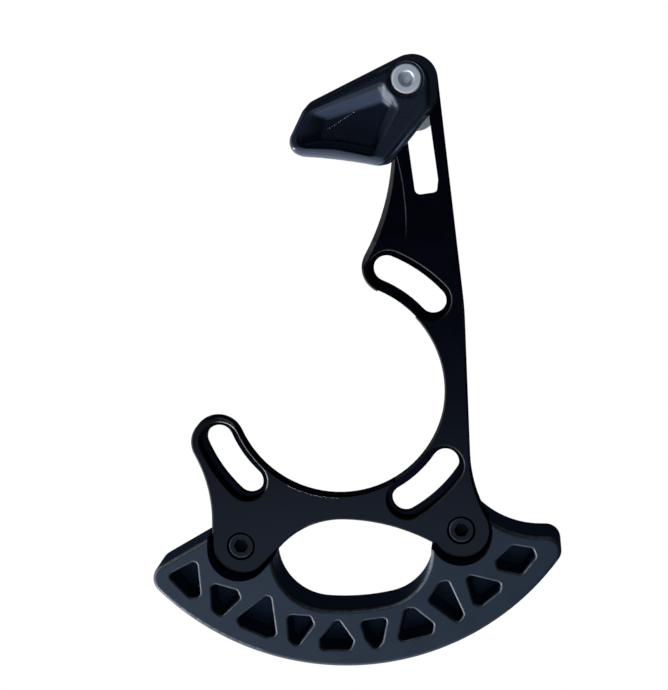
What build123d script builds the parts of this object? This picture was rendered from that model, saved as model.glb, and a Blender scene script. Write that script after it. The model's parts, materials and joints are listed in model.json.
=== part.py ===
from build123d import *
import os
from math import acos, atan2, copysign, cos, degrees, radians, sin, sqrt

# A chain guide seen from its outer side: X to the right, Z up, outboard along -Y.
# The origin is on the crank axis, in the plane of the mounting pads.
# Every height is measured outboard from that plane, in millimetres.

# Mounting slots, as angles about the crank axis of the centres of their round ends
slot_circle = 28.0
slot_width = 5.8
upper_slot_start = 43.6
upper_slot_end = 68.1
right_slot_start = -58.4
right_slot_end = -33.8
left_slot_start = -156.4
left_slot_end = -132.9
seat_margin = 1.45
seat_inset = 1.1
seat_depth = 2.4
seat_break = 0.25
pad_margin = 1.4
pad_height = 0.6

# Backplate
opening_radius = 23.0
tab_radius = 5.6
upper_tab_angle = 67.8
left_tab_angle = -155.5
plate_thickness = 4.4
edge_break = 0.35
knee_x = 27.0
knee_z = 17.6
knee_round = 60.0
waist_x = 28.5
waist_z = -14.0
leg_straight = 5.6
lobe_radius = 6.3
left_lobe_inset = 18.4
left_lobe_angle = -124.6
right_lobe_inset = 19.25
right_lobe_angle = -46.1
ring_width = 5.3
ring_crown_angle = -87.0
web_run = 8.4
web_drop = 0.2
web_round = 10.0
window_end_angle = 211.0
window_end_round = 2.0

# Slotted arm: its axis leans to the left and passes through the guide screw
guide_x = 15.4
guide_z = 66.6
arm_tilt = 8.4
arm_end_radius = 5.45
arm_end_drop = 0.8
arm_straight = 6.0
arm_bevel = 1.1
arm_slot_width = 5.4
arm_slot_reach = 24.9
arm_slot_corner = 1.2
arm_slot_cut_width = 0.7
arm_slot_cut_height = 2.8
relief_depth = 0.35
relief_height = 18.0
relief_left_x = 4.0
relief_top_x = 12.3
relief_bow_x = 14.4
relief_bow_height = 7.0
relief_end_x = 14.6
relief_end_z = 33.0

# Bash guard: a crescent about a centre of its own
guard_centre_x = 0.85
guard_centre_z = -3.1
guard_radius = 56.7
guard_depth = 13.0
guard_proud = 4.0
guard_edge = 0.9
guard_band = 12.5
guard_left_run = 7.2
guard_left_rise = 2.3
guard_left_slope = 31.2
guard_left_tip = 3.6
guard_right_flat = 7.26
guard_right_tip = 3.2
window_left_shift = 1.0
window_left_straight = 0.8
window_right_straight = 4.3
recess_clearance = 0.5
guard_rail = 3.5
pocket_depth = 7.0
pocket_draft = 4.0
pocket_corner = 0.95
pocket_edge = 0.5

# Pocket cores, rounded outwards: distance inside the guard's rail, and angle about the guard's centre
pocket_cores = [
    [(1.4, -133.6), (5.9, -131.9), (1.7, -127.1), (1.0, -127.9)],
    [(5.0, -123.8), (6.2, -119.0), (5.7, -118.2), (1.4, -119.7), (1.6, -121.0)],
    [(1.9, -114.2), (8.0, -110.2), (1.6, -106.5), (1.2, -107.4), (1.4, -113.5)],
    [(5.6, -102.4), (6.1, -98.4), (5.3, -97.8), (1.2, -100.2), (1.7, -101.1)],
    [(5.7, -90.5), (2.0, -87.6), (1.2, -88.0), (1.0, -93.4), (2.1, -93.5)],
    [(5.6, -83.0), (5.6, -78.7), (1.9, -80.4), (1.2, -81.2), (2.8, -82.4)],
    [(6.4, -71.3), (6.1, -70.3), (2.2, -67.6), (1.4, -68.1), (1.7, -74.4)],
    [(8.9, -60.0), (8.7, -59.1), (1.8, -59.9), (1.5, -60.6), (7.1, -63.8)],
    [(6.7, -52.4), (2.4, -48.5), (2.0, -49.0), (1.9, -53.9), (2.4, -54.3)],
    [(5.6, -43.5), (5.3, -38.8), (2.4, -36.9), (1.6, -37.4), (1.5, -41.6), (4.8, -44.0)],
]

# Upper guide: outline at its foot and dish in its outer face, measured from its screw
slide_clearance = 0.1
key_clearance = 0.15
guide_depth = 17.9
guide_draft = 3.0
guide_edge = 1.0
guide_boss_radius = 5.5
guide_shoulder = (5.8, -5.7)
guide_heel = (-4.5, -18.8)
guide_toe = (-26.7, -16.6)
guide_brow = (-21.4, -5.5)
guide_sole_rise = 0.6
guide_shoulder_round = 4.0
guide_heel_round = 3.0
guide_toe_round = 3.9
guide_brow_round = 3.2
inner_cheek = 3.4
channel_width = 8.0
channel_roof = [(-27.4, -10.1), (-6.4, -5.0), (-1.4, -8.0), (12.0, -8.0)]
channel_drop = 25.0
dish_depth = 2.8
dish_rim_round = 1.5
dish_floor_round = 0.5
dish_edge = 0.3
dish_rim = [(-19.1, -6.9), (-4.2, -0.9), (-1.6, -5.9), (-6.4, -15.4), (-13.6, -13.8), (-22.6, -13.6)]
dish_floor = [(-16.5, -8.1), (-3.9, -4.3), (-3.3, -5.7), (-6.9, -14.3), (-13.2, -13.0), (-17.6, -12.8)]
boss_front_radius = 4.4
boss_flare = 2.2
head_seat_edge = 0.4
key_length = 5.0
key_depth = 1.6

# Fasteners
guide_screw_radius = 2.0
guide_head_radius = 3.15
guide_head_height = 2.6
guide_head_inset = 0.3
guide_socket = 2.6
guard_screw_radius = 2.0
guard_head_radius = 2.9
guard_head_height = 2.3
guard_head_inset = 0.3
guard_socket = 2.8
socket_depth = 1.5
socket_lead = 0.4
head_edge = 0.3
head_clearance = 0.2
screw_clearance = 0.2
insert_radius = 2.9
insert_gap = 0.05
thread_gap = 0.05
nut_flange_radius = 4.3
nut_flange_height = 2.2
nut_neck_height = 1.8
nut_length = 7.3

# Levels
plate_back = pad_height
plate_front = plate_back + plate_thickness
guard_front = plate_front + guard_proud
guard_back = guard_front - guard_depth
guide_back = plate_front + slide_clearance
guide_front = guide_back + guide_depth


def polar(radius, angle, centre=Vector(0, 0)):
    return centre + Vector(radius * cos(radians(angle)), radius * sin(radians(angle)))


def blend_arc(start, inward, centre, radius):
    # Arc that leaves start at right angles to inward and runs out along a round end
    gap = start - centre
    reach = (gap.dot(gap) - radius**2) / (2 * (radius - inward.dot(gap)))
    hub = start + inward * reach
    end = centre + (hub - centre).normalized() * copysign(radius, reach)
    middle = hub + (start + end - hub * 2).normalized() * abs(reach)
    return hub, reach, middle, end


def direction(vector):
    return degrees(atan2(vector.Y, vector.X))


def level(height):
    return Plane.XZ.offset(height)


# Places that several pieces share
axis_point = Vector(guide_x, guide_z)
across = polar(1, arm_tilt)
along = polar(1, arm_tilt + 90)
end_point = axis_point - along * arm_end_drop
guard_centre = Vector(guard_centre_x, guard_centre_z)
left_lobe = polar(guard_radius - left_lobe_inset, left_lobe_angle, guard_centre)
right_lobe = polar(guard_radius - right_lobe_inset, right_lobe_angle, guard_centre)
upper_tab = polar(opening_radius + tab_radius, upper_tab_angle)
left_tab = polar(opening_radius + tab_radius, left_tab_angle)
slot_ends = [
    (upper_slot_start, upper_slot_end),
    (right_slot_start, right_slot_end),
    (left_slot_start, left_slot_end),
]
seat_ends = [(first + seat_inset, last - seat_inset) for first, last in slot_ends]
slot_arcs = [CenterArc((0, 0), slot_circle, first, last - first) for first, last in slot_ends]
seat_arcs = [CenterArc((0, 0), slot_circle, first, last - first) for first, last in seat_ends]


def arm_level(height):
    origin = level(height).from_local_coords(axis_point)
    return Plane(origin, x_dir=(across.X, 0, across.Y), z_dir=(0, -1, 0))


# Backplate outline, clockwise from the top of the arm
arm_left = end_point - across * arm_end_radius
arm_top = end_point + along * arm_end_radius
arm_shoulder = arm_left - along * arm_straight
arm_hub, arm_reach, arm_middle, upper_tab_start = blend_arc(
    arm_shoulder, across * -1, upper_tab, tab_radius
)
knee = Vector(knee_x, knee_z)
knee_gap = knee - end_point
arm_right = polar(
    arm_end_radius, direction(knee_gap) + degrees(acos(arm_end_radius / knee_gap.length)), end_point
)
waist = Vector(waist_x, waist_z)
_, _, waist_middle, right_lobe_start = blend_arc(
    waist, (waist - knee).normalized().rotate(Axis.Z, 90), right_lobe, lobe_radius
)
right_lobe_end = polar(lobe_radius, window_end_angle, right_lobe)
window_crown = polar(opening_radius + ring_width, ring_crown_angle)
web_end = left_lobe + Vector(web_run, -web_drop)
lobe_gap = web_end - left_lobe
left_lobe_start = polar(
    lobe_radius, direction(lobe_gap) - degrees(acos(lobe_radius / lobe_gap.length)), left_lobe
)
left_lobe_end = polar(lobe_radius, 180, left_lobe)
leg_top = left_lobe_end + Vector(0, leg_straight)
_, _, leg_middle, left_tab_start = blend_arc(leg_top, Vector(-1, 0), left_tab, tab_radius)
left_tab_middle = polar(tab_radius, left_tab_angle - 90, left_tab)
upper_tab_middle = polar(tab_radius, upper_tab_angle + 90, upper_tab)
opening_start = polar(opening_radius, left_tab_angle)
opening_middle = polar(opening_radius, (left_tab_angle + upper_tab_angle) / 2)
opening_end = polar(opening_radius, upper_tab_angle)
relief_middle = (relief_bow_x, relief_bow_height)
relief_plane = Plane(
    (0, -plate_front, relief_end_z), x_dir=(1, 0, 0), z_dir=(0, -relief_height, relief_depth)
)
plate_rounds = [
    (knee, knee_round),
    (right_lobe_end, window_end_round),
    (web_end, web_round),
]

with BuildPart() as backplate:
    with BuildSketch(level(plate_back)) as plate_outline:
        with BuildLine():
            ThreePointArc(arm_left, arm_top, arm_right)
            Polyline(arm_right, knee, waist)
            ThreePointArc(waist, waist_middle, right_lobe_start)
            ThreePointArc(right_lobe_start, polar(lobe_radius, -60, right_lobe), right_lobe_end)
            TangentArc(window_crown, right_lobe_end, tangent=(1, 0))
            TangentArc(window_crown, web_end, tangent=(-1, 0))
            Line(web_end, left_lobe_start)
            ThreePointArc(left_lobe_start, polar(lobe_radius, -110, left_lobe), left_lobe_end)
            Line(left_lobe_end, leg_top)
            ThreePointArc(leg_top, leg_middle, left_tab_start)
            ThreePointArc(left_tab_start, left_tab_middle, opening_start)
            ThreePointArc(opening_start, opening_middle, opening_end)
            ThreePointArc(opening_end, upper_tab_middle, upper_tab_start)
            ThreePointArc(upper_tab_start, arm_middle, arm_shoulder)
            Line(arm_shoulder, arm_left)
        make_face()
        for corner, radius in plate_rounds:
            fillet(plate_outline.vertices().sort_by_distance(corner)[0], radius)
    extrude(amount=plate_thickness)
    rims = backplate.faces().sort_by(Axis.Y)
    chamfer(rims[0].edges() + rims[-1].edges(), edge_break)
    # Broad bevel along the left edge of the arm
    with BuildSketch(level(plate_front)):
        with Locations(arm_hub):
            Circle(arm_reach + arm_bevel)
    extrude(amount=-arm_bevel, taper=45, mode=Mode.SUBTRACT)
    # Shallow relief beside the arm slot, which fades out downwards
    with BuildSketch(relief_plane):
        with BuildLine():
            ThreePointArc((relief_top_x, relief_height), relief_middle, (relief_end_x, 0))
            Polyline(
                (relief_end_x, 0),
                (relief_left_x, 0),
                (relief_left_x, relief_height),
                (relief_top_x, relief_height),
            )
        make_face()
    extrude(amount=relief_depth, mode=Mode.SUBTRACT)
    # Raised pads on the back, round the mounting slots
    with BuildSketch(level(0)):
        for arc in slot_arcs:
            SlotArc(arc, slot_width + 2 * pad_margin)
    extrude(amount=plate_back + plate_thickness / 2)
    # Slots and the bolt seats milled into the front, two of them open to the crank
    with BuildSketch(level(plate_front)):
        for arc in seat_arcs:
            SlotArc(arc, slot_width + 2 * seat_margin)
        for first, last in slot_ends[:2]:
            middle = (first + last) / 2
            inner = opening_radius - seat_margin
            Polygon(
                polar(inner, first),
                polar(inner, middle),
                polar(inner, last),
                polar(slot_circle, last),
                polar(slot_circle, middle),
                polar(slot_circle, first),
                align=None,
            )
    extrude(amount=-seat_depth, mode=Mode.SUBTRACT)
    for arc in seat_arcs:
        with BuildSketch(level(plate_front)):
            SlotArc(arc, slot_width + 2 * (seat_margin + seat_break))
        extrude(amount=-seat_break, taper=45, mode=Mode.SUBTRACT)
    with BuildSketch(level(0)):
        for arc in slot_arcs:
            SlotArc(arc, slot_width)
    extrude(amount=plate_front, mode=Mode.SUBTRACT)
    # Arm slot
    with BuildSketch(arm_level(plate_back)) as arm_slot:
        half = arm_slot_width / 2
        with BuildLine():
            ThreePointArc((-half, 0), (0, half), (half, 0))
            Polyline(
                (half, 0),
                (half, arm_slot_cut_height - arm_slot_reach),
                (half - arm_slot_cut_width, -arm_slot_reach),
                (-half, -arm_slot_reach),
                (-half, 0),
            )
        make_face()
        fillet(arm_slot.vertices().group_by(Axis.Y)[0], arm_slot_corner)
    extrude(amount=plate_thickness, mode=Mode.SUBTRACT)
    # Counterbored holes in the lobes
    with Locations(*[level(plate_front).from_local_coords(lobe) for lobe in (left_lobe, right_lobe)]):
        with Locations(Plane.XZ):
            CounterBoreHole(
                guard_screw_radius + screw_clearance,
                guard_head_radius + head_clearance,
                guard_head_height + guard_head_inset,
                plate_thickness + pad_height,
            )
backplate.part.label = "backplate"

# Bash guard outline, clockwise from its left tip
guard_left_top = left_lobe + Vector(-guard_left_run, guard_left_rise)
left_run = polar(1, guard_left_slope)


def meet_circle(point, run, centre, radius, side):
    # Where the line through point along run meets a circle, on the given side
    gap = point - centre
    reach = run.dot(gap)
    return point + run * (side * sqrt(reach**2 - gap.dot(gap) + radius**2) - reach)


left_tip = meet_circle(guard_left_top, left_run, guard_centre, guard_radius, -1)
left_boss_start = meet_circle(guard_left_top, left_run, left_lobe, lobe_radius, -1)
right_boss_start = polar(lobe_radius, 180, right_lobe)
right_tip = meet_circle(right_lobe, Vector(1, 0), guard_centre, guard_radius, 1)
right_flat = right_tip - Vector(guard_right_flat, 0)
window_radius = guard_radius - guard_centre_z - guard_band
_, _, crest_middle, right_boss_end = blend_arc(right_flat, Vector(0, 1), right_lobe, lobe_radius)


def window_corner(wall_x, hub_z, side):
    # Round that joins an upright wall to the floor of the window
    radius = (window_radius**2 - wall_x**2 - hub_z**2) / (2 * (window_radius - side * wall_x))
    hub = Vector(wall_x - side * radius, hub_z)
    start = hub + Vector(side * radius, 0)
    end = hub.normalized() * window_radius
    middle = hub + (start + end - hub * 2).normalized() * radius
    return start, middle, end


left_wall, left_wall_middle, floor_left = window_corner(
    left_lobe.X + lobe_radius + window_left_shift, left_lobe.Y - window_left_straight, -1
)
right_wall, right_wall_middle, floor_right = window_corner(
    right_lobe.X - lobe_radius, right_lobe.Y - window_right_straight, 1
)
wall_gap = left_wall - left_lobe
left_boss_end = polar(
    lobe_radius, direction(wall_gap) + degrees(acos(lobe_radius / wall_gap.length)), left_lobe
)
floor_middle = (floor_left + floor_right).normalized() * window_radius

with BuildPart() as bash_guard:
    with BuildSketch(level(guard_back)) as guard_outline:
        with BuildLine():
            Line(left_tip, left_boss_start)
            ThreePointArc(left_boss_start, polar(lobe_radius, 90, left_lobe), left_boss_end)
            Line(left_boss_end, left_wall)
            ThreePointArc(left_wall, left_wall_middle, floor_left)
            ThreePointArc(floor_left, floor_middle, floor_right)
            ThreePointArc(floor_right, right_wall_middle, right_wall)
            Line(right_wall, right_boss_start)
            ThreePointArc(right_boss_start, polar(lobe_radius, 110, right_lobe), right_boss_end)
            ThreePointArc(right_boss_end, crest_middle, right_flat)
            Line(right_flat, right_tip)
            ThreePointArc(right_tip, polar(guard_radius, -90, guard_centre), left_tip)
        make_face()
        fillet(guard_outline.vertices().sort_by(Axis.X)[0], guard_left_tip)
        fillet(guard_outline.vertices().sort_by(Axis.X)[-1], guard_right_tip)
    extrude(amount=guard_depth)
    rims = bash_guard.faces().sort_by(Axis.Y)
    fillet(rims[0].edges() + rims[-1].edges(), guard_edge)
    # Pockets in the outer face
    with BuildSketch(level(guard_front)):
        rail = guard_radius - guard_rail
        for core in pocket_cores:
            Polygon(*[polar(rail - inset, angle, guard_centre) for inset, angle in core], align=None)
        offset(amount=pocket_corner)
    extrude(amount=-pocket_depth, taper=pocket_draft, mode=Mode.SUBTRACT)
    front = bash_guard.faces().filter_by(Axis.Y).sort_by(Axis.Y)[0]
    fillet(front.inner_wires().edges(), pocket_edge)
    # Recess that takes the plate and its lobes
    with BuildSketch(level(plate_back)):
        add(plate_outline.sketch_local)
        offset(amount=recess_clearance)
    extrude(amount=guard_front, mode=Mode.SUBTRACT)
    # Bores for the threaded inserts
    with BuildSketch(level(guard_back)):
        with Locations(left_lobe, right_lobe):
            Circle(insert_radius + insert_gap)
    extrude(amount=guard_front, mode=Mode.SUBTRACT)
bash_guard.part.label = "bash_guard"

# Upper guide outline at its foot, clockwise from the brow
brow = Vector(*guide_brow)
shoulder = Vector(*guide_shoulder)
heel = Vector(*guide_heel)
toe = Vector(*guide_toe)
boss = along * -arm_end_drop
brow_gap = brow - boss
boss_start = polar(
    guide_boss_radius, direction(brow_gap) - degrees(acos(guide_boss_radius / brow_gap.length)), boss
)
boss_middle = polar(guide_boss_radius, 60, boss)
boss_end = polar(guide_boss_radius, 0, boss)
sole_middle = (heel + toe) / 2 + Vector(0, guide_sole_rise)
corner_rounds = [
    (shoulder, guide_shoulder_round),
    (heel, guide_heel_round),
    (toe, guide_toe_round),
    (brow, guide_brow_round),
]


def guide_level(height):
    return Plane(level(height).from_local_coords(axis_point), x_dir=(1, 0, 0), z_dir=(0, -1, 0))


# Dished pocket, less the flared boss that stands in its corner
with BuildPart() as dish:
    with BuildSketch(guide_level(guide_front)) as rim:
        Polygon(*dish_rim, align=None)
        fillet(rim.vertices(), dish_rim_round)
    with BuildSketch(guide_level(guide_front - dish_depth)) as floor:
        Polygon(*dish_floor, align=None)
        fillet(floor.vertices(), dish_floor_round)
    loft()
    with BuildSketch(guide_level(guide_front)):
        add(rim.sketch_local)
        offset(amount=dish_edge)
    extrude(amount=-dish_edge, taper=45)
    with BuildSketch(guide_level(guide_front)):
        Circle(boss_front_radius)
    with BuildSketch(guide_level(guide_front - dish_depth)):
        Circle(boss_front_radius + boss_flare)
    loft(mode=Mode.SUBTRACT)

with BuildPart() as upper_guide:
    with BuildSketch(guide_level(guide_back)) as guide_outline:
        with BuildLine():
            Line(brow, boss_start)
            ThreePointArc(boss_start, boss_middle, boss_end)
            Polyline(boss_end, shoulder, heel)
            ThreePointArc(heel, sole_middle, toe)
            Line(toe, brow)
        make_face()
        for corner, radius in corner_rounds:
            fillet(guide_outline.vertices().sort_by_distance(corner)[0], radius)
    extrude(amount=guide_depth, taper=guide_draft)
    fillet(upper_guide.faces().sort_by(Axis.Y)[0].edges(), guide_edge)
    add(dish.part, mode=Mode.SUBTRACT)
    # Chain channel between the two cheeks
    with BuildSketch(guide_level(guide_back + inner_cheek)):
        roof_start, *_, roof_end = channel_roof
        Polygon(*channel_roof, (roof_end[0], -channel_drop), (roof_start[0], -channel_drop), align=None)
    extrude(amount=channel_width, mode=Mode.SUBTRACT)
    # Key that runs in the arm slot
    with BuildSketch(arm_level(guide_back)):
        half = arm_slot_width / 2 - key_clearance
        with BuildLine():
            ThreePointArc((-half, 0), (0, half), (half, 0))
            Polyline((half, 0), (half, -key_length), (-half, -key_length), (-half, 0))
        make_face()
    extrude(amount=-key_depth)
    # Screw hole and the seat of its head
    with BuildSketch(guide_level(0)):
        Circle(guide_screw_radius + screw_clearance)
    extrude(amount=guide_front, mode=Mode.SUBTRACT)
    with BuildSketch(guide_level(guide_front)):
        Circle(guide_head_radius + head_clearance)
    extrude(amount=-(guide_head_height + guide_head_inset), mode=Mode.SUBTRACT)
    with BuildSketch(guide_level(guide_front)):
        Circle(guide_head_radius + head_clearance + head_seat_edge)
    extrude(amount=-head_seat_edge, taper=45, mode=Mode.SUBTRACT)
upper_guide.part.label = "upper_guide"

# Flanged nut behind the arm, with its neck in the slot
nut_top = plate_back - slide_clearance
nut_back = nut_top - nut_flange_height

with BuildPart() as slot_nut:
    with BuildSketch(arm_level(nut_back)):
        with Locations((0, -nut_length / 2)):
            SlotCenterToCenter(nut_length, 2 * nut_flange_radius, rotation=90)
    extrude(amount=nut_flange_height)
    with BuildSketch(arm_level(nut_top)):
        with Locations((0, -nut_length / 2)):
            SlotCenterToCenter(nut_length, arm_slot_width - 2 * key_clearance, rotation=90)
    extrude(amount=nut_neck_height)
    with BuildSketch(level(nut_back)):
        with Locations(axis_point):
            Circle(guide_screw_radius + thread_gap)
    extrude(amount=plate_front, mode=Mode.SUBTRACT)
slot_nut.part.label = "slot_nut"

# Screw that clamps the upper guide
guide_head_top = guide_front - guide_head_inset

with BuildPart() as guide_screw:
    with BuildSketch(level(guide_head_top)):
        with Locations(axis_point):
            Circle(guide_head_radius)
    extrude(amount=-guide_head_height)
    chamfer(guide_screw.faces().sort_by(Axis.Y)[0].edges(), head_edge)
    with BuildSketch(level(guide_head_top)):
        with Locations(axis_point):
            RegularPolygon(guide_socket / 2, 6, major_radius=False)
    extrude(amount=-socket_depth, mode=Mode.SUBTRACT)
    with BuildSketch(level(guide_head_top)):
        with Locations(axis_point):
            Circle(guide_socket / 2 + socket_lead)
    extrude(amount=-socket_lead, taper=45, mode=Mode.SUBTRACT)
    with BuildSketch(level(nut_back)):
        with Locations(axis_point):
            Circle(guide_screw_radius)
    extrude(amount=guide_head_top - guide_head_height - nut_back)
guide_screw.part.label = "guide_screw"

# Screws and threaded inserts that hold the bash guard
guard_head_top = plate_front - guard_head_inset

with BuildPart() as guard_screw_left:
    with BuildSketch(level(guard_head_top)):
        with Locations(left_lobe):
            Circle(guard_head_radius)
    extrude(amount=-guard_head_height)
    chamfer(guard_screw_left.faces().sort_by(Axis.Y)[0].edges(), head_edge)
    with BuildSketch(level(guard_head_top)):
        with Locations(left_lobe):
            RegularPolygon(guard_socket / 2, 6, major_radius=False)
    extrude(amount=-socket_depth, mode=Mode.SUBTRACT)
    with BuildSketch(level(guard_back)):
        with Locations(left_lobe):
            Circle(guard_screw_radius)
    extrude(amount=guard_head_top - guard_head_height - guard_back)
guard_screw_left.part.label = "guard_screw_left"

with BuildPart() as guard_screw_right:
    with BuildSketch(level(guard_head_top)):
        with Locations(right_lobe):
            Circle(guard_head_radius)
    extrude(amount=-guard_head_height)
    chamfer(guard_screw_right.faces().sort_by(Axis.Y)[0].edges(), head_edge)
    with BuildSketch(level(guard_head_top)):
        with Locations(right_lobe):
            RegularPolygon(guard_socket / 2, 6, major_radius=False)
    extrude(amount=-socket_depth, mode=Mode.SUBTRACT)
    with BuildSketch(level(guard_back)):
        with Locations(right_lobe):
            Circle(guard_screw_radius)
    extrude(amount=guard_head_top - guard_head_height - guard_back)
guard_screw_right.part.label = "guard_screw_right"

with BuildPart() as guard_insert_left:
    with BuildSketch(level(guard_back)):
        with Locations(left_lobe):
            Circle(insert_radius)
            Circle(guard_screw_radius + thread_gap, mode=Mode.SUBTRACT)
    extrude(amount=plate_back - guard_back)
guard_insert_left.part.label = "guard_insert_left"

with BuildPart() as guard_insert_right:
    with BuildSketch(level(guard_back)):
        with Locations(right_lobe):
            Circle(insert_radius)
            Circle(guard_screw_radius + thread_gap, mode=Mode.SUBTRACT)
    extrude(amount=plate_back - guard_back)
guard_insert_right.part.label = "guard_insert_right"

os.makedirs("parts", exist_ok=True)
export_step(backplate.part, "parts/backplate.step")
export_step(bash_guard.part, "parts/bash_guard.step")
export_step(upper_guide.part, "parts/upper_guide.step")
export_step(slot_nut.part, "parts/slot_nut.step")
export_step(guide_screw.part, "parts/guide_screw.step")
export_step(guard_screw_left.part, "parts/guard_screw_left.step")
export_step(guard_screw_right.part, "parts/guard_screw_right.step")
export_step(guard_insert_left.part, "parts/guard_insert_left.step")
export_step(guard_insert_right.part, "parts/guard_insert_right.step")
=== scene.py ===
import json
import math

import bmesh
import bpy
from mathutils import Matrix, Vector


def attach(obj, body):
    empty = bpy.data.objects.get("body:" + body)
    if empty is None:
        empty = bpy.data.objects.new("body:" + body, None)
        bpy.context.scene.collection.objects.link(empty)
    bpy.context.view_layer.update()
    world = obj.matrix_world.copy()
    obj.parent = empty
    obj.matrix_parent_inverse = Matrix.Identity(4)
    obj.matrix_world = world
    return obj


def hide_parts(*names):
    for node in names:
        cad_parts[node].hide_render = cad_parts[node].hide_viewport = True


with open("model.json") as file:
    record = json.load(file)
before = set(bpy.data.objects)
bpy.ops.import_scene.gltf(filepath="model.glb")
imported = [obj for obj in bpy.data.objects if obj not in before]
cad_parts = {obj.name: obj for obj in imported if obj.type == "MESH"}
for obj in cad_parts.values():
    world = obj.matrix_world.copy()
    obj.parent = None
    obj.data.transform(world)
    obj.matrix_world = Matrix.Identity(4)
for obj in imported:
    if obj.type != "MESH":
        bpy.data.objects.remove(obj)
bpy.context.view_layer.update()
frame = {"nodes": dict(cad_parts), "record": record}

nodes = frame["nodes"]
plainWhite = (1.0, 1.0, 1.0, 1.0)
metre = 1000.0  # in millimetres, which the sizes below are in where no note says otherwise
print("frame loaded:", len(nodes), "nodes")


# Shader maths as Python sums

class Wire:
    def __init__(self, tree, socket):
        self.tree = tree
        self.socket = socket

    def make(self, kind, settings, sockets, out=0):
        node = self.tree.nodes.new(kind)
        for name, value in settings.items():
            setattr(node, name, value)
        for name, value in sockets.items():
            if isinstance(value, Wire):
                self.tree.links.new(value.socket, node.inputs[name])
            else:
                node.inputs[name].default_value = value
        return Wire(self.tree, node.outputs[out] if node.outputs else None)

    def sum(self, operation, first, second):
        return self.make("ShaderNodeMath", {"operation": operation}, {0: first, 1: second})

    def __add__(self, other):
        return self.sum("ADD", self, other)

    __radd__ = __add__

    def __sub__(self, other):
        return self.sum("SUBTRACT", self, other)

    def __rsub__(self, other):
        return self.sum("SUBTRACT", other, self)

    def __mul__(self, other):
        return self.sum("MULTIPLY", self, other)

    __rmul__ = __mul__

    def __pow__(self, other):
        return self.sum("POWER", self, other)

    def __abs__(self):
        return self.sum("ABSOLUTE", self, 0.0)

    def wave(self):
        return self.sum("SINE", self, 0.0) * 0.5 + 0.5

    def atLeast(self, other):
        return self.sum("MAXIMUM", self, other)

    def atMost(self, other):
        return self.sum("MINIMUM", self, other)

    def fade(self, start, end):  # 0 at start, 1 at end, smooth between; start may be the higher
        return self.make("ShaderNodeMapRange", {"interpolation_type": "SMOOTHSTEP"},
                         {0: self, 1: start, 2: end, 3: 0.0, 4: 1.0})

    def near(self, place, inner, outer):  # 1 within inner of place, 0 past outer
        return abs(self - place).fade(outer, inner)

    def within(self, start, full, last, end):  # 1 from full to last, 0 before start and past end
        return self.fade(start, full) * self.fade(end, last)

    def blend(self, low, high):  # colour low where this is 0, high where it is 1
        return self.make("ShaderNodeMix", {"data_type": "RGBA"}, {0: self, 6: low, 7: high}, out=2)

    def split(self):
        ends = self.make("ShaderNodeSeparateXYZ", {}, {0: self}).socket.node.outputs
        return [Wire(self.tree, end) for end in ends]


def weighed(shares, **wires):  # a base and a share of each pattern
    total = shares.get("base", 0.0)
    for name, wire in wires.items():
        total = total + shares[name] * wire
    return total


def startFinish(name):
    finish = bpy.data.materials.new(name)
    finish.use_nodes = True
    finish.node_tree.nodes.clear()
    spot = Wire(finish.node_tree, None).make("ShaderNodeTexCoord", {}, {}, out="Object")
    spot = spot.make("ShaderNodeVectorMath", {"operation": "SCALE"}, {0: spot, "Scale": metre})
    return finish, spot, *spot.split()


def endFinish(finish, spot, sockets):
    shader = spot.make("ShaderNodeBsdfPrincipled", {}, sockets)
    spot.make("ShaderNodeOutputMaterial", {}, {"Surface": shader})
    return finish


def noise(spot, scale, detail, rough=0.55):  # scale is in cycles per millimetre
    return spot.make("ShaderNodeTexNoise", {},
                     {"Vector": spot, "Scale": scale, "Detail": detail, "Roughness": rough})


def bump(height, strength, distance):  # distance is in metres
    return height.make("ShaderNodeBump", {},
                       {"Height": height, "Strength": strength, "Distance": distance})


def reach(x, z, centre):  # distance from an axis along Y
    return ((x - centre[0]) ** 2.0 + (z - centre[1]) ** 2.0) ** 0.5


def facing(spot):  # how far a surface looks along each axis
    return spot.make("ShaderNodeNewGeometry", {}, {}, out="Normal").split()


def circleThrough(first, second, third):
    (a, b), (c, d), (e, f) = first, second, third
    twice = 2.0 * (a * (d - f) + c * (f - b) + e * (b - d))
    p, q, r = a * a + b * b, c * c + d * d, e * e + f * f
    across = (p * (d - f) + q * (f - b) + r * (b - d)) / twice
    up = (p * (e - c) + q * (a - e) + r * (c - a)) / twice
    return (across, up), math.dist((across, up), first)


# Black anodised plate: broken edges worn patchy with a brownish painted reflection, a painted
# highlight along the relief step by the arm slot, seat floors kept black as painted shade, painted
# highlights on the seat edges

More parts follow.
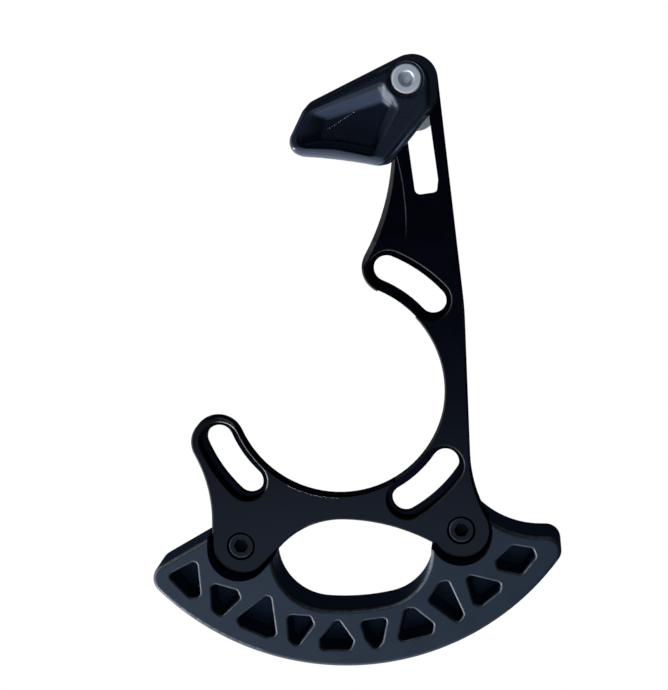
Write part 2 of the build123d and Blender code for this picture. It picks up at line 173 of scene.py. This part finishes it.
plateLook = {
    "deep": (0.0003, 0.0005, 0.0026, 1.0),
    "soft": (0.0009, 0.0014, 0.0046, 1.0),
    "edge": (0.0050, 0.0036, 0.0031, 1.0),
    "wearAndHighlight": (0.13, 0.12, 0.155, 1.0),
    "seat": (0.030, 0.030, 0.034, 1.0),
    "leftSeatHighlight": (0.260, 0.265, 0.285, 1.0),
    "grain": (5.5, 4.0, 0.6),  # scale, detail and roughness, as in every noise below
    "cloud": (0.09, 3.0),
    "cloudRange": (0.3, 0.7),
    "wear": (0.6, 4.0, 0.6),
    "wearRange": (0.30, 0.62),
    "wallLean": (0.5, 0.1),  # a lean is 1 on faces that look along Y and 0 on walls
    "edgeLean": (0.707, 0.10, 0.22),
    "floorLean": (0.8, 0.95),
    "crankAxis": (0.0, 0.0),
    "seatBand": (28.2, 4.5, 4.75),
    "seatInside": (27.5, 25.5),
    "seatOutside": (27.5, 29.5),
    "leftSide": (-4.0, -8.0),
    "front": (4.4, 4.6),
    "line": ((12.3, 51.0), (14.4, 40.0), (14.6, 33.0)),
    "lineWidth": (0.03, 0.17),
    "lineEnds": (32.0, 39.0, 53.0, 54.0),
    "edgeWear": {"base": 0.5, "wear": 0.5},
    "lineWear": {"base": 0.25, "wear": 0.5},
    "roughness": {"base": 0.11, "cloud": 0.05, "grain": 0.05, "edge": 0.35, "wall": 0.5},
    "floorMetal": 0.7,  # painted shade: the seats' floors are made a black metal, so they show no reflection and stay black
    "specular": 0.16,
    "coat": {"base": 0.01, "wear": 0.05},
    "coatRoughness": 0.22,
    "bump": (0.08, 0.00004),
}


def makePlateFinish():
    look = plateLook
    finish, spot, x, y, z = startFinish("blackAnodised")
    grain = noise(spot, *look["grain"])
    cloud = noise(spot, *look["cloud"])
    wear = noise(spot, *look["wear"]).fade(*look["wearRange"])
    lean = abs(facing(spot)[1])
    wall = lean.fade(*look["wallLean"])
    edge = lean.near(*look["edgeLean"])
    front = (0.0 - y).fade(*look["front"])
    out = reach(x, z, look["crankAxis"])
    band = out.near(*look["seatBand"])
    left = x.fade(*look["leftSide"])
    # the side of each seat whose edge faces the light: the inner side on the left slot, the outer
    # side on the others
    side = left * out.fade(*look["seatInside"]) + (1.0 - left) * out.fade(*look["seatOutside"])
    # the seats' floors, kept black as painted shade
    floor = band * lean.fade(*look["floorLean"]) * (1.0 - front)
    centre, radius = circleThrough(*look["line"])
    line = reach(x, z, centre).near(radius, *look["lineWidth"])
    line = line * z.within(*look["lineEnds"]) * front
    patchy = edge * weighed(look["edgeWear"], wear=wear)
    colour = cloud.fade(*look["cloudRange"]).blend(look["deep"], look["soft"])
    # broken edges: worn patchy, and tinted brownish as a painted reflection
    colour = patchy.blend(colour, look["edge"])
    # painted highlight on the seat edges that face the light
    colour = (patchy * band * side).blend(colour, left.blend(look["seat"], look["leftSeatHighlight"]))
    # painted highlight along the relief step's edge by the arm slot, broken up by the wear pattern
    colour = (line * weighed(look["lineWear"], wear=wear)).blend(colour, look["wearAndHighlight"])
    return endFinish(finish, spot, {
        "Base Color": colour,
        "Roughness": weighed(look["roughness"], cloud=cloud, grain=grain, edge=edge, wall=wall),
        "Metallic": look["floorMetal"] * floor,
        "Specular IOR Level": look["specular"],
        "Coat Weight": edge * weighed(look["coat"], wear=wear),
        "Coat Roughness": look["coatRoughness"],
        "Normal": bump(grain, *look["bump"]),
    })


# Moulded slate nylon of the bash guard: bluer in the pockets, pale edges that are partly wear and
# partly painted highlight, a painted glint on edges facing up and left, a nicked rim

guardLook = {
    "face": (0.0088, 0.0162, 0.0305, 1.0),
    "pale": (0.0120, 0.0213, 0.0380, 1.0),
    "pocket": (0.010, 0.033, 0.076, 1.0),
    "wearAndHighlight": (0.050, 0.056, 0.064, 1.0),
    "glint": (0.130, 0.142, 0.160, 1.0),
    "nick": (0.22, 0.24, 0.26, 1.0),
    "front": 9.0,
    "centre": (0.85, -3.1),
    "radius": 56.7,
    "grain": (3.2, 5.0, 0.62),
    "fine": (9.0, 2.0),
    "cloud": (0.12, 3.0),
    "wear": (0.8, 4.0, 0.6),
    "wearRange": (0.15, 0.65),
    "chips": (1.1, 4.0, 0.7),
    "chipRange": (0.69, 0.74),
    "mottle": {"cloud": 0.6, "grain": 0.4},
    "mottleRange": (0.32, 0.68),
    "upLeft": (0.10, 0.55),
    "edgeLean": (0.15, 0.40, 0.90, 0.97),
    "pocketDepth": (0.8, 3.5),
    "pocketBack": (3.7, 2.8),
    "pocketInset": (2.2, 3.0),  # in from the outer wall, as are the next two
    "outerInset": (1.6, 1.0),
    "nickInset": (0.5, 0.2, 0.7),
    "nickDepth": (1.2, 0.6),
    "wearAndHighlightDepth": (0.9, 0.45),
    "leftTip": (-47.0, -43.0),
    "outerLoss": 0.55,
    "roughness": {"base": 0.38, "grain": 0.16, "cloud": 0.06},
    "specular": 0.22,
    "coat": {"base": 0.12, "cloud": 0.3},
    "coatRoughness": 0.42,
    "relief": {"grain": 1.0, "fine": 0.4},
    "bump": (0.16, 0.00006),
}


def makeGuardFinish():
    look = guardLook
    finish, spot, x, y, z = startFinish("slateNylon")
    grain = noise(spot, *look["grain"])
    fine = noise(spot, *look["fine"])
    cloud = noise(spot, *look["cloud"])
    right, ahead, up = facing(spot)
    edge = abs(ahead).within(*look["edgeLean"])
    depth = look["front"] + y
    inset = look["radius"] - reach(x, z, look["centre"])
    deep = depth.fade(*look["pocketDepth"]) * y.fade(*look["pocketBack"])
    deep = deep * inset.fade(*look["pocketInset"])
    outer = inset.fade(*look["outerInset"]) * x.fade(*look["leftTip"])
    # pale edges: partly rubbed wear, partly painted highlight; less on the outer rim
    wearAndHighlight = edge * depth.fade(*look["wearAndHighlightDepth"]) * (1.0 - look["outerLoss"] * outer)
    wearAndHighlight = wearAndHighlight * noise(spot, *look["wear"]).fade(*look["wearRange"])
    # edges facing up and left, which get little lamp light, take a painted glint instead
    bright = (up - right).fade(*look["upLeft"]) * (1.0 - outer)
    nick = inset.near(*look["nickInset"]) * depth.fade(*look["nickDepth"])
    nick = nick * noise(spot, *look["chips"]).fade(*look["chipRange"])
    mottle = weighed(look["mottle"], cloud=cloud, grain=grain).fade(*look["mottleRange"])
    colour = mottle.blend(look["face"], look["pale"])
    colour = deep.blend(colour, look["pocket"])
    colour = wearAndHighlight.blend(colour, bright.blend(look["wearAndHighlight"], look["glint"]))
    colour = nick.blend(colour, look["nick"])
    return endFinish(finish, spot, {
        "Base Color": colour,
        "Roughness": weighed(look["roughness"], grain=grain, cloud=cloud),
        "Specular IOR Level": look["specular"],
        "Coat Weight": edge * weighed(look["coat"], cloud=cloud),
        "Coat Roughness": look["coatRoughness"],
        "Normal": bump(weighed(look["relief"], grain=grain, fine=fine), *look["bump"]),
    })


# Moulded navy nylon of the upper guide: the dish floor painted dark as shade, a facet and sill
# painted pale as lit, a painted highlight by the screw

guideAxis = (15.4, 66.6)
guideLook = {
    "face": (0.0062, 0.0104, 0.0212, 1.0),
    "pale": (0.0082, 0.0130, 0.0250, 1.0),
    "floor": (0.0013, 0.0046, 0.0145, 1.0),
    "facet": (0.0285, 0.0450, 0.0850, 1.0),
    "worn": (0.118, 0.132, 0.158, 1.0),
    "sill": (0.034, 0.050, 0.098, 1.0),
    "front": 23.0,
    "grain": (4.5, 4.0, 0.55),
    "cloud": (0.16, 2.0),
    "cloudRange": (0.3, 0.7),
    "floorDepth": (2.8, 0.25, 0.6),
    "floorLean": (0.80, 0.97),
    "facetDepth": (0.2, 0.5, 2.5, 3.0),
    "facetLean": (0.45, 0.60, 0.88, 0.97),
    "facetDown": (-0.35, -0.6),
    "sillDepth": (0.3, 0.7, 2.6, 3.1),
    "sillUp": (0.42, 0.62),
    "edgeLean": (0.15, 0.40, 0.86, 0.97),
    "wornBand": (5.0, 0.8, 1.2),
    "wornLean": (0.40, 0.55, 0.86, 0.96),
    "wornDepth": (0.15, 0.4, 2.3, 2.8),
    "wornSide": (0.3, 2.2),  # left of the screw's axis
    "lip": (54.0, 56.0),
    "roughness": {"base": 0.20, "grain": 0.08, "cloud": 0.05, "upperEdge": 0.25},
    "specular": 0.32,
    "coat": {"base": 0.02, "cloud": 0.06},
    "coatRoughness": 0.22,
    "bump": (0.08, 0.00004),
}


def makeGuideFinish():
    look = guideLook
    finish, spot, x, y, z = startFinish("navyNylon")
    grain = noise(spot, *look["grain"])
    cloud = noise(spot, *look["cloud"])
    _, ahead, up = facing(spot)
    lean = abs(ahead)
    depth = look["front"] + y
    edge = lean.within(*look["edgeLean"])
    # the dish floor, painted dark as shade
    floor = depth.near(*look["floorDepth"]) * lean.fade(*look["floorLean"])
    # the facet that faces down in the dish, painted pale as lit
    facet = depth.within(*look["facetDepth"]) * lean.within(*look["facetLean"])
    facet = facet * up.fade(*look["facetDown"])
    # the sill that faces up below the dish, painted pale as lit
    sill = depth.within(*look["sillDepth"]) * up.fade(*look["sillUp"])
    # worn patch: a painted highlight on the flare below and left of the screw
    worn = reach(x, z, guideAxis).near(*look["wornBand"]) * lean.within(*look["wornLean"])
    worn = worn * depth.within(*look["wornDepth"]) * (guideAxis[0] - x).fade(*look["wornSide"])
    colour = cloud.fade(*look["cloudRange"]).blend(look["face"], look["pale"])
    colour = facet.blend(colour, look["facet"])
    colour = sill.blend(colour, look["sill"])
    colour = worn.blend(colour, look["worn"])
    colour = floor.blend(colour, look["floor"])
    upperEdge = edge * z.fade(*look["lip"])
    return endFinish(finish, spot, {
        "Base Color": colour,
        "Roughness": weighed(look["roughness"], grain=grain, cloud=cloud, upperEdge=upperEdge),
        "Specular IOR Level": look["specular"],
        "Coat Weight": edge * weighed(look["coat"], cloud=cloud),
        "Coat Roughness": look["coatRoughness"],
        "Normal": bump(grain, *look["bump"]),
    })


# Turned hardware: rings of fine tool marks round each axis, painted highlights on the head edges
# and in the bright socket, painted shade in the black screws' sockets

lobeAxes = ((-20.9, -34.62), (26.82, -30.1))
turnedLook = {
    "bright_steel": {
        "axes": (guideAxis,),
        "dark": (0.50, 0.54, 0.58, 1.0),
        "pale": (0.70, 0.74, 0.78, 1.0),
        "rings": 38.0,
        "dull": 0.30,
        "metal": 0.55,
        "gloss": 0.5,
        "worn": {"ring": (2.74, 0.06, 0.16), "shade": (0.97, 0.98, 1.0, 1.0), "metal": 0.0},
        "socket": {"reach": (1.45, 1.25), "top": 22.7, "shade": (0.66, 0.70, 0.74, 1.0)},
        "glint": {"offset": (0.1, -0.4), "reach": (0.95, 0.25), "shade": plainWhite},
        "paleBack": {"range": (-3.5, -2.5), "shade": (0.86, 0.79, 0.69, 1.0)},
    },
    "black_steel": {
        "axes": lobeAxes,
        "dark": (0.0012, 0.0018, 0.0036, 1.0),
        "pale": (0.0030, 0.0040, 0.0070, 1.0),
        "rings": 30.0,
        "dull": 0.20,
        "metal": 0.0,
        "gloss": 0.20,
        "worn": {"ring": (2.47, 0.05, 0.16), "shade": (0.105, 0.122, 0.145, 1.0), "metal": 1.0},
        "socket": {"reach": (1.7, 1.3), "top": 4.7, "shade": (0.0002, 0.0003, 0.001, 1.0)},
    },
    "insert_brass": {
        "axes": lobeAxes,
        "dark": (0.50, 0.36, 0.13, 1.0),
        "pale": (0.72, 0.56, 0.25, 1.0),
        "rings": 34.0,
        "dull": 0.22,
        "metal": 1.0,
        "gloss": 0.5,
    },
}
turnedWork = {  # the same for all of them
    "fleck": (7.0, 4.0, 0.6),
    "mottle": {"turned": 0.5, "fleck": 0.5},
    "dull": {"fleck": 0.10, "turned": 0.08},
    "wornSide": (-2.5, 2.0),
    "wornShare": {"base": 0.5, "fleck": 0.5},
    "socketDepth": (0.05, 0.3),
    "socketDull": 0.4,
    "relief": {"turned": 1.0, "fleck": 0.6},
    "bump": (0.10, 0.00003),
}


def makeTurnedFinish(name, look):
    work = turnedWork
    finish, spot, x, y, z = startFinish(name)
    axis = reach(x, z, look["axes"][0])
    for centre in look["axes"][1:]:
        axis = axis.atMost(reach(x, z, centre))
    turned = (axis * look["rings"]).wave()
    fleck = noise(spot, *work["fleck"])
    colour = weighed(work["mottle"], turned=turned, fleck=fleck).blend(look["dark"], look["pale"])
    dull = weighed({**work["dull"], "base": look["dull"]}, fleck=fleck, turned=turned)
    metal = look["metal"]
    if "worn" in look:  # painted highlight on the edge of the head, at its lower left
        worn = look["worn"]
        for across, up in look["axes"]:
            ring = reach(x, z, (across, up)).near(*worn["ring"])
            ring = ring * (across + up - x - z).fade(*work["wornSide"])
            ring = ring * weighed(work["wornShare"], fleck=fleck)
            colour = ring.blend(colour, worn["shade"])
            metal = metal + ring * (worn["metal"] - metal)
    # sockets: painted dark as shade in the black screws; the bright screw's socket gets a painted
    # highlight spot just below its centre
    if "socket" in look:
        hole = look["socket"]
        socket = axis.fade(*hole["reach"]) * (hole["top"] + y).fade(*work["socketDepth"])
        shade = hole["shade"]
        if "glint" in look:
            glint = look["glint"]
            centre = [place + step for place, step in zip(look["axes"][0], glint["offset"])]
            shade = reach(x, z, centre).fade(*glint["reach"]).blend(shade, glint["shade"])
        colour = socket.blend(colour, shade)
        dull = dull + work["socketDull"] * socket
    if "paleBack" in look:  # warmer and paler towards the back: painted light that lifts the nut where it sits in shade
        colour = y.fade(*look["paleBack"]["range"]).blend(colour, look["paleBack"]["shade"])
    return endFinish(finish, spot, {
        "Base Color": colour,
        "Metallic": metal,
        "Roughness": dull,
        "Specular IOR Level": look["gloss"],
        "Normal": bump(weighed(work["relief"], turned=turned, fleck=fleck), *work["bump"]),
    })


finishes = {
    "black_anodised": makePlateFinish(),
    "slate_nylon": makeGuardFinish(),
    "navy_nylon": makeGuideFinish(),
    **{slot: makeTurnedFinish(slot, look) for slot, look in turnedLook.items()},
}
for part in frame["record"]["subparts"]:
    held = nodes[part["node"]]
    held.data.materials.clear()
    held.data.materials.append(finishes[part["material_slot"]])
print("finishes:", len(finishes))


# Upper guide with the soft edges of a moulding, in the shape of its solid

shellLook = {
    "weld": 0.000001,  # in metres, as is the voxel
    "voxel": 0.00025,
    "smoothing": (0.5, 5),  # factor and rounds
    "sole": ((-9.9, 50.9), (9.8, 48.9)),  # lower edge of the outer face
    "soleRise": 0.6,
    "roll": 1.5,
    "rollBand": 2.0,
    "rollDepth": 4.0,
}


def plainMesh(piece):  # what the modifiers give, as the object's own mesh
    held = piece.evaluated_get(bpy.context.evaluated_depsgraph_get())
    result = bpy.data.meshes.new_from_object(held)
    piece.modifiers.clear()
    piece.data = result
    result.name = piece.name


def rollSole(mesh):  # the lower edge of the outer face leans back
    start, end = (Vector(point) for point in shellLook["sole"])
    run = (end - start).normalized()
    half = (end - start).length / 2.0
    up = Vector((-run.y, run.x))
    for vertex in mesh.vertices:
        vertex.co.y = max(vertex.co.y, -guideLook["front"] / metre)  # no further out than the solid
        x, y, z = vertex.co * metre
        depth = guideLook["front"] + y
        place = Vector((x, z)) - start
        middle = max(0.0, 1.0 - (place.dot(run) / half - 1.0) ** 2)
        height = max(0.0, place.dot(up) - shellLook["soleRise"] * middle)
        if depth < shellLook["rollDepth"] and height < shellLook["rollBand"]:
            lean = shellLook["roll"] * (1.0 - height / shellLook["rollBand"]) ** 2
            vertex.co.y += lean * (1.0 - depth / shellLook["rollDepth"]) / metre


def makeGuideShell():
    mesh = nodes["upper_guide"].data.copy()
    merged = bmesh.new()
    merged.from_mesh(mesh)
    bmesh.ops.remove_doubles(merged, verts=merged.verts, dist=shellLook["weld"])
    merged.to_mesh(mesh)
    merged.free()
    shell = bpy.data.objects.new("guideShell", mesh)
    bpy.context.scene.collection.objects.link(shell)
    skin = shell.modifiers.new("skin", "REMESH")
    skin.mode, skin.voxel_size, skin.use_smooth_shade = "VOXEL", shellLook["voxel"], True
    soft = shell.modifiers.new("soft", "SMOOTH")
    soft.factor, soft.iterations = shellLook["smoothing"]
    plainMesh(shell)
    rollSole(shell.data)
    shell.data.materials.clear()
    shell.data.materials.append(finishes["navy_nylon"])
    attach(shell, "keeper")
    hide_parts("upper_guide")
    return shell


shell = makeGuideShell()
print("guide shell:", len(shell.data.polygons), "faces")


# Marks that follow a path: a dotted scratch in the dish and scuffs by the crank opening

def onArc(radius, height, start, end, steps):
    turns = [math.radians(start + (end - start) * step / steps) for step in range(steps + 1)]
    return [(radius * math.cos(turn), height, radius * math.sin(turn)) for turn in turns]


markRows = {
    "dishScratch": {
        "body": "keeper",
        "slot": "navy_nylon",
        "shades": ((0.36, 0.38, 0.41, 1.0), (0.78, 0.80, 0.84, 1.0)),
        "path": [(-0.58, -20.2, 56.29), (1.40, -20.2, 57.52),
                 (2.80, -20.2, 58.45), (4.66, -20.2, 59.73)],
        "Count": 13,
        "Length": 0.11,
        "Width": 0.15,
        "Height": 0.03,
        "Scatter": 0.03,
        "Seed": 4,
    },
    "crankScuffs": {
        "body": "bracket",
        "slot": "black_anodised",
        "shades": ((0.05, 0.055, 0.06, 1.0), (0.30, 0.31, 0.33, 1.0)),
        "path": onArc(23.5, -5.0, -117.0, -90.0, 24),
        "Count": 46,
        "Length": 0.30,
        "Width": 0.05,
        "Height": 0.03,
        "Scatter": 0.10,
        "Seed": 9,
    },
}
markWork = {  # the same for both
    "inputs": {"Count": "Int", "Length": "Float", "Width": "Float", "Height": "Float",
               "Scatter": "Float", "Seed": "Int", "Finish": "Material"},
    "sizes": (0.3, 1.0),  # smallest and largest share of the length and width
    "rounds": 2,
    "fleck": (2.4, 4.0, 0.6),
    "fleckRange": (0.35, 0.65),
    "roughness": {"base": 0.35, "fleck": 0.2},
}


def makeMarkFinish(name, shades):  # bare and pale, where a surface was scratched through
    finish, spot, *_ = startFinish(name + "Bare")
    fleck = noise(spot, *markWork["fleck"])
    return endFinish(finish, spot, {
        "Base Color": fleck.fade(*markWork["fleckRange"]).blend(*shades),
        "Roughness": weighed(markWork["roughness"], fleck=fleck),
    })


def makeMarkTree():
    tree = bpy.data.node_groups.new("marksAlongPath", "GeometryNodeTree")
    face = tree.interface
    face.new_socket("Path", in_out="INPUT", socket_type="NodeSocketGeometry")
    for name, kind in markWork["inputs"].items():
        face.new_socket(name, in_out="INPUT", socket_type="NodeSocket" + kind)
    face.new_socket("Marks", in_out="OUTPUT", socket_type="NodeSocketGeometry")
    start = Wire(tree, None)
    given = {end.name: Wire(tree, end) for end in tree.nodes.new("NodeGroupInput").outputs}
    curve = start.make("GeometryNodeMeshToCurve", {}, {"Mesh": given["Path"]})
    points = curve.make("GeometryNodeCurveToPoints", {"mode": "COUNT"},
                        {"Curve": curve, "Count": given["Count"]})
    along = Wire(tree, points.socket.node.outputs["Tangent"])
    scatter = start.make("FunctionNodeRandomValue", {"data_type": "FLOAT_VECTOR"},
                         {0: (-1.0, 0.0, -1.0), 1: (1.0, 0.0, 1.0), "Seed": given["Seed"]})
    scatter = scatter.make("ShaderNodeVectorMath", {"operation": "SCALE"},
                           {0: scatter, "Scale": given["Scatter"]})
    placed = points.make("GeometryNodeSetPosition", {}, {"Geometry": points, "Offset": scatter})
    turned = along.make("FunctionNodeAlignRotationToVector", {"axis": "X"}, {"Vector": along})
    smallest, largest = markWork["sizes"]
    worn = start.make("FunctionNodeRandomValue", {"data_type": "FLOAT"},
                      {2: smallest, 3: largest, "Seed": given["Seed"] + 1.0}, out=1)
    size = worn.make("ShaderNodeCombineXYZ", {},
                     {0: given["Length"] * worn, 1: given["Height"], 2: given["Width"] * worn})
    fleck = start.make("GeometryNodeMeshIcoSphere", {},
                       {"Radius": 1.0, "Subdivisions": markWork["rounds"]})
    marks = placed.make("GeometryNodeInstanceOnPoints", {},
                        {"Points": placed, "Instance": fleck, "Rotation": turned, "Scale": size})
    marks = marks.make("GeometryNodeRealizeInstances", {}, {"Geometry": marks})
    marks = marks.make("GeometryNodeSetMaterial", {},
                       {"Geometry": marks, "Material": given["Finish"]})
    marks.make("NodeGroupOutput", {}, {"Marks": marks})
    return tree


def makeMarks():
    tree = makeMarkTree()
    for name, row in markRows.items():
        path = bpy.data.meshes.new(name)
        ends = [Vector(point) / metre for point in row["path"]]
        path.from_pydata(ends, [(step, step + 1) for step in range(len(ends) - 1)], [])
        piece = bpy.data.objects.new(name, path)
        bpy.context.scene.collection.objects.link(piece)
        grow = piece.modifiers.new("marks", "NODES")
        grow.node_group = tree
        values = {**row, "Finish": makeMarkFinish(name, row["shades"])}
        for item in tree.interface.items_tree:
            kind = markWork["inputs"].get(item.name)
            if kind:
                value = values[item.name]
                grow[item.identifier] = value / metre if kind == "Float" else value
        plainMesh(piece)
        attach(piece, row["body"])
        print("marks:", name, len(piece.data.polygons), "faces")


makeMarks()


# Camera, floor and light, with places and sizes in metres

viewLook = {
    "place": (0.037375, -0.445694, 0.076384),
    "azimuth": 4.925,
    "elevation": 8.557,
    "lens": 109.565,
    "sensor": 36.0,
    "clip": (0.01, 20.0),
}


def makeCamera():
    eye = bpy.data.objects.new("camera", bpy.data.cameras.new("camera"))
    bpy.context.scene.collection.objects.link(eye)
    turn, lift = math.radians(viewLook["azimuth"]), math.radians(viewLook["elevation"])
    level = math.cos(lift)
    ahead = Vector((-math.sin(turn) * level, math.cos(turn) * level, -math.sin(lift)))
    eye.location = viewLook["place"]
    eye.rotation_mode = "QUATERNION"
    eye.rotation_quaternion = ahead.to_track_quat("-Z", "Y")
    eye.data.lens = viewLook["lens"]
    eye.data.sensor_width = viewLook["sensor"]
    eye.data.clip_start, eye.data.clip_end = viewLook["clip"]
    bpy.context.scene.camera = eye


floorLook = {
    "height": -0.55,
    "reach": 4.0,
    "colour": (0.9, 0.9, 0.9, 1.0),
}


def makeFloor():  # far below, and as white to the camera as the room
    edge, height = floorLook["reach"], floorLook["height"]
    corners = [(-edge, -edge, height), (edge, -edge, height),
               (edge, edge, height), (-edge, edge, height)]
    mesh = bpy.data.meshes.new("floor")
    mesh.from_pydata(corners, [], [(0, 1, 2, 3)])
    floor = bpy.data.objects.new("floor", mesh)
    bpy.context.scene.collection.objects.link(floor)
    finish = bpy.data.materials.new("paleFloor")
    finish.use_nodes = True
    finish.node_tree.nodes.clear()
    start = Wire(finish.node_tree, None)
    paint = start.make("ShaderNodeBsdfDiffuse", {}, {"Color": floorLook["colour"]})
    glow = start.make("ShaderNodeEmission", {}, {"Color": plainWhite, "Strength": 1.0})
    seen = start.make("ShaderNodeLightPath", {}, {}, out="Is Camera Ray")
    mixed = start.make("ShaderNodeMixShader", {}, {0: seen, 1: paint, 2: glow})
    start.make("ShaderNodeOutputMaterial", {}, {"Surface": mixed})
    mesh.materials.append(finish)
    floor.visible_glossy = False  # a reflection sees the room instead


lampAim = (0.0, -0.01, 0.01)
lampLook = {  # place, size across and up, watts, whether reflections show it
    "lowLeft": ((-0.39, -0.23, -0.40), (0.22, 0.16), 6.2, True),
    "front": ((0.10, -0.75, 0.05), (0.35, 0.35), 0.3, False),
}


def makeLamps():
    for name, (place, size, watts, shows) in lampLook.items():
        lamp = bpy.data.lights.new(name, "AREA")
        lamp.shape, lamp.size, lamp.size_y, lamp.energy = "RECTANGLE", *size, watts
        held = bpy.data.objects.new(name, lamp)
        held.location = place
        held.rotation_mode = "QUATERNION"
        held.rotation_quaternion = (Vector(lampAim) - held.location).to_track_quat("-Z", "Y")
        held.visible_glossy = shows
        bpy.context.scene.collection.objects.link(held)


roomLook = {  # what a reflection sees on each side, and the range in which that side begins
    "front": (0.02, 0.022, 0.025, 1.0),
    "above": ((0.010, 0.019, 0.044, 1.0), (0.15, 0.7)),
    "behind": ((0.012, 0.016, 0.026, 1.0), (0.0, 0.5)),
    "left": ((0.12, 0.13, 0.15, 1.0), (-0.4, -0.9)),
    "below": ((1.24, 1.67, 2.40, 1.0), (-0.18, -0.25)),
    "ground": ((1.50, 1.48, 1.62, 1.0), (-0.4, -0.75)),
    "window": ((2.4, 2.5, 2.7, 1.0), (0.76, 0.94)),
    "notRight": (0.32, 0.02),  # where below and ground end
    "windowWay": (-0.93, 0.17, -0.32),
    "ambient": (0.06, 0.063, 0.066, 1.0),
}


def makeRoom():  # white to the camera; a dim room to reflections and to the rest
    room = bpy.data.worlds.new("room")
    bpy.context.scene.world = room
    room.use_nodes = True
    tree = room.node_tree
    tree.nodes.clear()
    way = Wire(tree, None).make("ShaderNodeTexCoord", {}, {}, out="Generated")
    x, y, z = way.split()
    window = way.make("ShaderNodeVectorMath", {"operation": "DOT_PRODUCT"},
                      {0: way, 1: roomLook["windowWay"]}, out="Value")
    notRight = x.fade(*roomLook["notRight"])
    seen = roomLook["front"]
    for side, along, share in (("above", z, 1.0), ("behind", y, 1.0), ("left", x, 1.0),
                               ("below", z, notRight), ("ground", z, notRight),
                               ("window", window, 1.0)):
        shade, begins = roomLook[side]
        seen = (along.fade(*begins) * share).blend(seen, shade)
    ray = way.make("ShaderNodeLightPath", {}, {}).socket.node.outputs
    camera = Wire(tree, ray["Is Camera Ray"])
    shiny = Wire(tree, ray["Is Glossy Ray"]).atLeast(Wire(tree, ray["Is Transmission Ray"]))
    seen = shiny.blend(roomLook["ambient"], seen)
    seen = camera.blend(seen, plainWhite)
    back = way.make("ShaderNodeBackground", {}, {"Color": seen, "Strength": 1.0})
    way.make("ShaderNodeOutputWorld", {}, {"Surface": back})


makeCamera()
makeFloor()
makeLamps()
makeRoom()
bpy.context.scene.view_settings.view_transform = "Standard"
print("camera, floor, lamps and room made")
